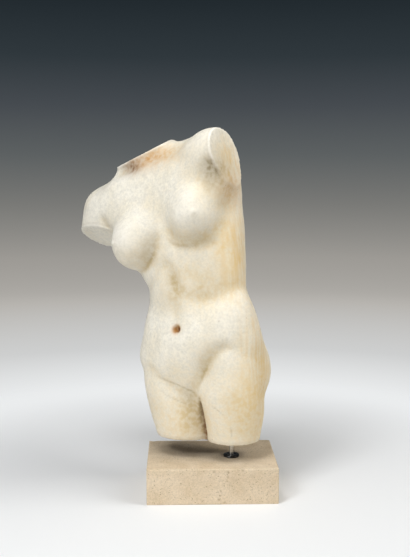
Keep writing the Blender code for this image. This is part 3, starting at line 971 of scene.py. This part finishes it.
    def tones(
        self, points: np.ndarray, facing: np.ndarray, fine: np.ndarray, broad: np.ndarray
    ) -> dict[str, np.ndarray]:
        """Lays the waxes, the wear, the painted shade and the painted highlights on the
        vertices.

        Args:
            points: places in the figure's space.
            facing: normals in the figure's space.
            fine: how sunk each vertex lies in its near surroundings, in millimetres.
            broad: the same for its wide surroundings.

        Returns:
            A name and an array from 0 to 1 for each tone.
        """
        laid = {tone: np.zeros(len(points)) for tone in Tone}
        soft = 0.75 + 0.25 * ripple(points, (14, 14, 18), 31.0)
        for stain in self.stains:
            gap = (points - np.array(stain.centre, float)) / np.array(stain.radii, float)
            laid[stain.tone] += stain.strength * soft * np.exp(-(gap**2).sum(1))
        low_down = np.clip((150 - points[:, 2]) / 90, 0, 1)
        clouds = np.clip(ripple(points, (36, 36, 60), 2.0), 0, 1)
        laid[Tone.OCHRE_AND_SHADE] += self.ochre_all_over + self.ochre_below * low_down
        # Surfaces that face down take a warm painted shade.
        laid[Tone.OCHRE_AND_SHADE] += self.painted_shade_underneath * np.clip(-facing[:, 2], 0, 1)
        laid[Tone.OCHRE_AND_SHADE] += self.ochre_clouds * clouds
        laid[Tone.OCHRE_AND_SHADE] += self.ochre_behind * np.clip(facing[:, 1], 0, 1)
        # Wax and painted shade gather in the hollows; rubbed white, partly painted highlight, on
        # the rises.
        for wax in self.hollow_waxes_and_shade:
            laid[wax.tone] += np.clip(fine * wax.fine, 0, wax.fine_most)
            laid[wax.tone] += np.clip(broad * wax.broad, 0, wax.broad_most)
        # Dark soiling and painted shade of the crease gather along each groove.
        for groove in self.grooves:
            laid[Tone.GRIME_AND_SHADE] += groove.grime_and_shade * self.groove_share(groove, points, facing)
        # Rims rubbed white, partly a painted highlight along the edge, with a thin darker line a
        # few millimetres in.
        for cut, depth in zip(self.cuts, self.cut_depths(points).T):
            off_face = np.clip((0.93 - facing @ cut.away) * 8, 0, 1)
            rim = np.exp(-((depth / self.rim_width) ** 2))
            inside = np.exp(-(((depth + self.rim_dark_line_in) / self.rim_width) ** 2))
            laid[Tone.RUBBED_AND_HIGHLIGHT] += self.rim_rubbed_and_highlight * off_face * rim
            laid[Tone.GRIME_AND_SHADE] += self.rim_dark_line * off_face * inside
            face = (np.abs(depth) < 0.8) & (off_face < 0.2)
            laid[Tone.OCHRE_AND_SHADE] *= np.where(face, cut.toned, 1.0)
        waxed = laid[Tone.GRIME_AND_SHADE] + laid[Tone.UMBER_AND_SHADE] + laid[Tone.RUST] + 0.5 * laid[Tone.OCHRE_AND_SHADE]
        laid[Tone.RUBBED_AND_HIGHLIGHT] *= 1 - np.clip(waxed, 0, 0.85)
        # The flat underside is painted near black: painted shade that stands in for the deep shadow
        # under the torso.
        underside = np.clip((-facing[:, 2] - 0.95) * 25, 0, 1) * (points[:, 2] < 3)
        laid[Tone.PAINTED_SHADE] += 1.5 * underside
        return {tone.value: np.clip(amount, 0, 1) for tone, amount in laid.items()}

    def hollows(
        self, mesh: bpy.types.Mesh, points: np.ndarray, normals: np.ndarray
    ) -> list[np.ndarray]:
        """How far each vertex lies below the average of its near and wide surroundings.

        Args:
            mesh: the skin, for its edges.
            points: places in the figure's space.
            normals: normals in the figure's space.

        Returns:
            Two rows of depths in millimetres, the near one first.
        """
        edges = np.empty(len(mesh.edges) * 2, np.int32)
        mesh.edges.foreach_get("vertices", edges)
        first, second = edges.reshape(-1, 2).T
        count = np.bincount(np.concatenate((first, second)), minlength=len(points))
        around = points.copy()
        found = []
        for step in range(1, self.hollow_rounds[-1] + 1):
            total = np.stack(
                [
                    np.bincount(first, around[second, axis], len(points))
                    + np.bincount(second, around[first, axis], len(points))
                    for axis in range(3)
                ],
                1,
            )
            around = total / count[:, None]
            if step in self.hollow_rounds:
                found.append(((around - points) * normals).sum(1))
        return found

    def build(self, finish: WaxedPlaster) -> bpy.types.Object:
        """Makes, carves and tones the torso.

        Args:
            finish: the waxed plaster.

        Returns:
            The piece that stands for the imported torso.
        """
        mesh = self.skin()
        work = bmesh.new()
        work.from_mesh(mesh)
        self.round_off(work)
        work.normal_update()
        points, facing = self.space.read(work)
        move = self.relief(points, facing)
        move[self.in_bore(points, self.bore_uncarved)] = 0.0
        for vert, step in zip(work.verts, move.tolist()):
            vert.co += vert.normal * (step / PER_METRE)
        work.normal_update()
        points, facing = self.space.read(work)
        work.to_mesh(mesh)
        work.free()
        fine, broad = self.hollows(mesh, points, facing)
        for name, amount in self.tones(points, facing, fine, broad).items():
            layer = mesh.attributes.new(name, "FLOAT", "POINT")
            layer.data.foreach_set("value", amount.astype(np.float32))
        mesh.shade_smooth()
        mesh.materials.clear()
        mesh.materials.append(finish.material())
        piece = bpy.data.objects.new("cast_torso", mesh)
        bpy.context.scene.collection.objects.link(piece)
        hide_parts("torso")
        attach(piece, "root")
        return piece


@dataclass
class RodMount:
    """The bright rod and the dark collar at its foot, both turned round one axis."""

    sides: int = 64
    tip: float = 0.0006
    collar_edge: float = 0.0009
    collar_gap: float = 0.0003

    def turned(self, name: str, profile: list[tuple[float, float]], node: str) -> bpy.types.Mesh:
        """Spins a closed profile round the rod's axis.

        Args:
            name: what the mesh is called.
            profile: radius and height pairs, in metres.
            node: the CAD node that gives the axis.

        Returns:
            The closed mesh.
        """
        low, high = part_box(node)
        axis = Vector(((low.x + high.x) / 2, (low.y + high.y) / 2, 0.0))
        work = bmesh.new()
        verts = [work.verts.new((axis.x + r, axis.y, z)) for r, z in profile]
        edges = [work.edges.new(pair) for pair in zip(verts, verts[1:])]
        bmesh.ops.spin(
            work,
            geom=verts + edges,
            cent=axis,
            axis=(0, 0, 1),
            angle=math.tau,
            steps=self.sides,
            use_merge=True,
        )
        bmesh.ops.remove_doubles(work, verts=work.verts, dist=1e-6)
        bmesh.ops.recalc_face_normals(work, faces=work.faces)
        mesh = bpy.data.meshes.new(name)
        work.to_mesh(mesh)
        work.free()
        mesh.shade_smooth()
        mesh.set_sharp_from_angle(angle=math.radians(40))
        return mesh

    def rod(self, finish: TurnedSteel) -> bpy.types.Object:
        """Turns the straight rod with rounded tips.

        Args:
            finish: the bright steel.

        Returns:
            The rod.
        """
        low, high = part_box("support_rod")
        radius = (high.x - low.x) / 2
        profile = [
            (0.0, low.z),
            (radius - self.tip, low.z),
            (radius - self.tip * 0.3, low.z + self.tip * 0.3),
            (radius, low.z + self.tip),
            (radius, high.z - self.tip),
            (radius - self.tip * 0.3, high.z - self.tip * 0.3),
            (radius - self.tip, high.z),
            (0.0, high.z),
        ]
        mesh = self.turned("steel_rod", profile, "support_rod")
        mesh.materials.append(finish.material())
        return self.dress("steel_rod", mesh, "support_rod")

    def collar(self, finish: BlackedSteel) -> bpy.types.Object:
        """Turns the collar with a rounded edge and a shallow seat round the rod.

        Args:
            finish: the black-coated steel.

        Returns:
            The collar.
        """
        low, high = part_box("rod_collar")
        rod_low, rod_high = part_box("support_rod")
        outer = (high.x - low.x) / 2
        inner = (rod_high.x - rod_low.x) / 2 + self.collar_gap
        edge = self.collar_edge
        profile = [
            (inner, low.z),
            (outer - edge * 0.5, low.z),
            (outer, low.z + edge * 0.5),
            (outer, high.z - edge),
            (outer - edge * 0.3, high.z - edge * 0.3),
            (outer - edge, high.z),
            (inner + edge, high.z),
            (inner, high.z - edge * 0.6),
            (inner, low.z),
        ]
        mesh = self.turned("black_collar", profile, "rod_collar")
        mesh.materials.append(finish.material())
        return self.dress("black_collar", mesh, "rod_collar")

    def dress(self, name: str, mesh: bpy.types.Mesh, node: str) -> bpy.types.Object:
        """Makes a mesh the piece that stands for a CAD node.

        Args:
            name: what the piece is called.
            mesh: its finished mesh.
            node: the CAD node.

        Returns:
            The piece.
        """
        piece = bpy.data.objects.new(name, mesh)
        bpy.context.scene.collection.objects.link(piece)
        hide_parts(node)
        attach(piece, "root")
        return piece


@dataclass
class StoneBlock:
    """The limestone block: honed faces, small pits and slightly broken arrises.

    Lengths are metres. Each pit in the front face has its place across and up, and
    its radius in millimetres.
    """

    arris: float = 0.0010
    cell: float = 0.0020
    chip: float = 0.0011
    chip_reach: float = 0.0016
    pit_depth: float = 0.0010
    socket_gap: float = 0.0003
    socket_sides: int = 48
    pits: tuple[tuple[float, float, float], ...] = (
        (0.0248, 0.0521, 1.6),
        (0.0240, 0.0445, 1.3),
        (0.0232, 0.0385, 1.1),
        (0.0129, 0.0216, 1.3),
        (0.0113, 0.0148, 1.4),
        (0.0098, 0.0080, 1.7),
        (0.0018, 0.0538, 1.2),
        (0.0477, 0.0555, 1.3),
        (0.0300, 0.0300, 0.9),
    )

    def build(self, finish: HonedLimestone) -> bpy.types.Object:
        """Makes the block with its rod socket and pits.

        Args:
            finish: the honed limestone.

        Returns:
            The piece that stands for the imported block.
        """
        low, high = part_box("base_block")
        size = high - low
        work = bmesh.new()
        place = Matrix.Translation((low + high) / 2) @ Matrix.Diagonal((*size, 1.0))
        bmesh.ops.create_cube(work, size=1.0, matrix=place)
        bmesh.ops.bevel(
            work,
            geom=work.edges[:],
            offset=self.arris,
            segments=2,
            profile=0.5,
            affect="EDGES",
            material=-1,
        )
        for axis in range(3):
            long_edges = [
                e
                for e in work.edges
                if abs((e.verts[0].co - e.verts[1].co)[axis]) > size[axis] * 0.8
            ]
            bmesh.ops.subdivide_edges(
                work, edges=long_edges, cuts=int(size[axis] / self.cell), use_grid_fill=True
            )
        work.normal_update()
        self.wear(work, low, high)
        mesh = bpy.data.meshes.new("stone_block")
        work.to_mesh(mesh)
        work.free()
        mesh = self.bored(mesh, high.z)
        self.soil_and_shade_pits(mesh, low)
        mesh.shade_smooth()
        mesh.set_sharp_from_angle(angle=math.radians(50))
        mesh.materials.append(finish.material())
        piece = bpy.data.objects.new("stone_block", mesh)
        bpy.context.scene.collection.objects.link(piece)
        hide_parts("base_block")
        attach(piece, "root")
        return piece

    def bored(self, mesh: bpy.types.Mesh, top: float) -> bpy.types.Mesh:
        """Bores the rod's socket from the top face.

        Args:
            mesh: the worn block.
            top: the height of its top face, in metres.

        Returns:
            The block with its socket.
        """
        low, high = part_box("support_rod")
        radius = (high.x - low.x) / 2 + self.socket_gap
        above = 0.002
        drill = bmesh.new()
        middle = Vector(((low.x + high.x) / 2, (low.y + high.y) / 2, (low.z + top) / 2))
        bmesh.ops.create_cone(
            drill,
            cap_ends=True,
            segments=self.socket_sides,
            radius1=radius,
            radius2=radius,
            depth=top - low.z + 2 * (self.socket_gap + above),
            matrix=Matrix.Translation(middle + Vector((0.0, 0.0, above))),
        )
        drill_mesh = bpy.data.meshes.new("drill")
        drill.to_mesh(drill_mesh)
        drill.free()
        cutter = bpy.data.objects.new("drill", drill_mesh)
        holder = bpy.data.objects.new("block_holder", mesh)
        for piece in (cutter, holder):
            bpy.context.scene.collection.objects.link(piece)
        cut = holder.modifiers.new("socket", "BOOLEAN")
        cut.operation = "DIFFERENCE"
        cut.object = cutter
        graph = bpy.context.evaluated_depsgraph_get()
        made = bpy.data.meshes.new_from_object(holder.evaluated_get(graph))
        for piece in (cutter, holder):
            bpy.data.objects.remove(piece)
        return made

    def in_pits(self, place: Vector) -> float:
        """How deep in the front face's pits a place lies, from 0 to 1 for each pit."""
        gaps = (math.hypot(place.x - x, place.z - z) * PER_METRE / r for x, z, r in self.pits)
        return sum(math.exp(-gap * gap) for gap in gaps)

    def wear(self, work: bmesh.types.BMesh, low: Vector, high: Vector) -> None:
        """Sinks the pits and chips the arrises.

        Args:
            work: the block, changed in place.
            low: its low corner.
            high: its high corner.
        """
        middle = (low + high) / 2
        half = (high - low) / 2
        for vert in work.verts:
            from_faces = sorted(half[i] - abs(vert.co[i] - middle[i]) for i in range(3))
            near_arris = math.exp(-((from_faces[1] / self.chip_reach) ** 2))
            broken = 2.2 * self.chip * max(0.0, noise.noise(vert.co * 120.0) - 0.22)
            small = 0.35 * self.chip * max(0.0, noise.noise(vert.co * 420.0))
            sink = near_arris * (broken + small)
            if vert.co.y < low.y + 0.0005:
                sink += self.pit_depth * self.in_pits(vert.co)
            if vert.co.z > low.z + 0.0005:
                vert.co -= vert.normal * sink

    def soil_and_shade_pits(self, mesh: bpy.types.Mesh, low: Vector) -> None:
        """Marks the vertices where dark soiling and painted shade sit in the pits.

        Args:
            mesh: the block, which gains the attribute.
            low: its low corner.
        """
        layer = mesh.attributes.new("grime_and_shade", "FLOAT", "POINT")
        amounts = [
            min(0.8 * self.in_pits(vert.co), 0.9) if vert.co.y < low.y + 0.002 else 0.0
            for vert in mesh.vertices
        ]
        layer.data.foreach_set("value", amounts)


@dataclass(frozen=True)
class Softbox:
    """A square softbox that faces the figure: its centre, its side, its watts and its tint."""

    name: str
    place: tuple[float, float, float]
    side: float
    watts: float
    tint: str


@dataclass
class Studio:
    """The pale floor that sweeps up behind and glows there in a painted falloff of
    light, the soft lights and the camera.

    The key stands at the upper left, with a high box, a wide fill on the right and
    a low white card. Lengths are metres and angles degrees.
    """

    floor_radius: float = 0.6
    sweep_radius: float = 3.0
    sweep_height: float = 3.2
    bend: float = 0.5
    bend_steps: int = 12
    sides: int = 96
    paper: str = "#EBEDEF"
    run_length: float = 5.0
    # A painted falloff of light: the glow's tones from near white by the floor to slate high up the
    # sweep.
    painted_falloff_tones: tuple[tuple[float, str], ...] = (
        (0.10, "#F1F3F4"),
        (0.14, "#EEF0F1"),
        (0.25, "#CECFCF"),
        (0.45, "#B7B4AF"),
        (0.59, "#9D9A95"),
        (0.667, "#7A7A77"),
        (0.717, "#5D6162"),
        (0.763, "#464B50"),
        (0.808, "#30383D"),
        (0.86, "#222A2F"),
    )
    lit_until: float = 0.3
    glows_from: float = 0.8
    boxes: tuple[Softbox, ...] = (
        Softbox("key_softbox", (-0.95, -1.25, 1.50), 0.6, 14.5, "#FFFFFF"),
        Softbox("overhead_softbox", (-0.35, -0.50, 2.0), 0.6, 12.5, "#FFFFFF"),
        Softbox("fill_softbox", (1.50, -0.50, 1.40), 1.4, 27.0, "#FFFDF9"),
        Softbox("low_card", (-0.80, -1.10, 0.14), 0.6, 8.0, "#FFFDF9"),
    )
    boxes_aim: tuple[float, float, float] = (0.0, 0.0, 0.32)
    air: str = "#FFFFFF"
    air_strength: float = 0.11
    lens: float = 61.3
    camera_place: tuple[float, float, float] = (-0.054, -1.532, 0.533)
    camera_down: float = 6.73
    camera_right: float = 1.64

    def floor_material(self) -> bpy.types.Material:
        """White paper by the piece; farther out and up the sweep it glows in a painted
        falloff of light, from grey to slate.

        Returns:
            The paper, lit near the piece and glowing beyond it in its painted falloff.
        """
        made, shader = new_material("paper_and_painted_glow")
        tree = made.node_tree
        at = add_node(tree, "ShaderNodeTexCoord").outputs["Object"]
        split = add_node(tree, "ShaderNodeSeparateXYZ", {0: at})
        flat = add_node(
            tree, "ShaderNodeCombineXYZ", {0: split.outputs[0], 1: split.outputs[1]}
        ).outputs[0]
        reach = add_node(
            tree, "ShaderNodeVectorMath", {0: flat}, operation="LENGTH"
        ).outputs["Value"]
        run = add_node(
            tree, "ShaderNodeMath", {0: reach, 1: split.outputs[2]}, operation="ADD"
        ).outputs[0]
        place = add_node(
            tree, "ShaderNodeMapRange", {0: run, 1: 0.0, 2: self.run_length, 3: 0.0, 4: 1.0}
        ).outputs[0]
        tone = add_node(
            tree, "ShaderNodeValToRGB", {0: place}, stops=self.painted_falloff_tones
        ).outputs["Color"]
        # Beyond the lit floor the sweep glows in a painted falloff of light.
        glow = add_node(tree, "ShaderNodeEmission", {"Color": tone, "Strength": 1.0}).outputs[0]
        shader.inputs["Base Color"].default_value = linear(self.paper)
        shader.inputs["Roughness"].default_value = 0.9
        shader.inputs["Specular IOR Level"].default_value = 0.1
        away = add_node(
            tree,
            "ShaderNodeMapRange",
            {0: run, 1: self.lit_until, 2: self.glows_from},
            interpolation_type="SMOOTHSTEP",
        ).outputs[0]
        both = add_node(
            tree, "ShaderNodeMixShader", {0: away, 1: shader.outputs[0], 2: glow}
        ).outputs[0]
        tree.links.new(both, tree.nodes["Material Output"].inputs["Surface"])
        return made

    def sweep(self) -> None:
        """Lays the floor round the piece and the wide sweep behind it."""
        paper = self.floor_material()
        self.spun("paper_floor", [(0.0, 0.0), (0.2, 0.0), (self.floor_radius, 0.0)], paper)
        bend_from = self.sweep_radius - self.bend
        profile = [(self.floor_radius, 0.0), (bend_from, 0.0)]
        for step in range(1, self.bend_steps + 1):
            angle = math.pi / 2 * step / self.bend_steps
            profile.append(
                (bend_from + self.bend * math.sin(angle), self.bend * (1 - math.cos(angle)))
            )
        profile.append((self.sweep_radius, self.sweep_height))
        self.spun("painted_glow_backdrop", profile, paper).visible_diffuse = False

    def spun(
        self, name: str, profile: list[tuple[float, float]], paper: bpy.types.Material
    ) -> bpy.types.Object:
        """Spins a profile of radius and height pairs round the middle.

        Args:
            name: what the object is called.
            profile: radius and height pairs, in metres.
            paper: the paper's material.

        Returns:
            The staged object.
        """
        work = bmesh.new()
        verts = [work.verts.new((r, 0.0, z)) for r, z in profile]
        edges = [work.edges.new(pair) for pair in zip(verts, verts[1:])]
        bmesh.ops.spin(
            work,
            geom=verts + edges,
            cent=(0, 0, 0),
            axis=(0, 0, 1),
            angle=math.tau,
            steps=self.sides,
            use_merge=True,
        )
        bmesh.ops.remove_doubles(work, verts=work.verts, dist=1e-5)
        bmesh.ops.recalc_face_normals(work, faces=work.faces)
        if sum(f.normal.z for f in work.faces) < 0:
            bmesh.ops.reverse_faces(work, faces=work.faces)
        mesh = bpy.data.meshes.new(name)
        work.to_mesh(mesh)
        work.free()
        mesh.shade_smooth()
        mesh.materials.append(paper)
        floor = bpy.data.objects.new(name, mesh)
        bpy.context.scene.collection.objects.link(floor)
        return floor

    def hang(self, box: Softbox) -> None:
        """Hangs one softbox and turns it to the figure."""
        lamp = bpy.data.lights.new(box.name, "AREA")
        lamp.shape = "SQUARE"
        lamp.size = box.side
        lamp.energy = box.watts
        lamp.color = linear(box.tint)[:3]
        holder = bpy.data.objects.new(box.name, lamp)
        holder.location = box.place
        aim = Vector(self.boxes_aim) - Vector(box.place)
        holder.rotation_euler = aim.to_track_quat("-Z", "Y").to_euler()
        bpy.context.scene.collection.objects.link(holder)

    def lights(self) -> None:
        """Hangs the softboxes, fills the air and sets how light turns into tones."""
        for box in self.boxes:
            self.hang(box)
        world = bpy.data.worlds.new("studio_air")
        world.use_nodes = True
        air = world.node_tree.nodes["Background"]
        air.inputs["Color"].default_value = linear(self.air)
        air.inputs["Strength"].default_value = self.air_strength
        bpy.context.scene.world = world
        # The plain transform keeps the pale plaster's warm tones apart.
        bpy.context.scene.view_settings.view_transform = "Standard"

    def camera(self) -> None:
        """Stands the camera at the photograph's angle."""
        data = bpy.data.cameras.new("camera")
        data.lens = self.lens
        data.sensor_width = 36.0
        data.sensor_fit = "AUTO"
        data.clip_end = 50.0
        eye = bpy.data.objects.new("camera", data)
        eye.location = self.camera_place
        eye.rotation_euler = (
            math.radians(90 - self.camera_down),
            0.0,
            math.radians(-self.camera_right),
        )
        bpy.context.scene.collection.objects.link(eye)
        bpy.context.scene.camera = eye


def main() -> None:
    """Builds every piece and reports it."""
    logging.basicConfig(level=logging.INFO, format="%(name)s: %(message)s")
    studio = Studio()
    studio.camera()
    studio.lights()
    studio.sweep()
    mount = RodMount()
    pieces = (
        PlasterTorso().build(WaxedPlaster()),
        mount.rod(TurnedSteel()),
        mount.collar(BlackedSteel()),
        StoneBlock().build(HonedLimestone()),
    )
    for piece in pieces:
        piece.data.calc_loop_triangles()
        LOG.info("%s: %d triangles", piece.name, len(piece.data.loop_triangles))


if __name__ == "__main__":
    main()
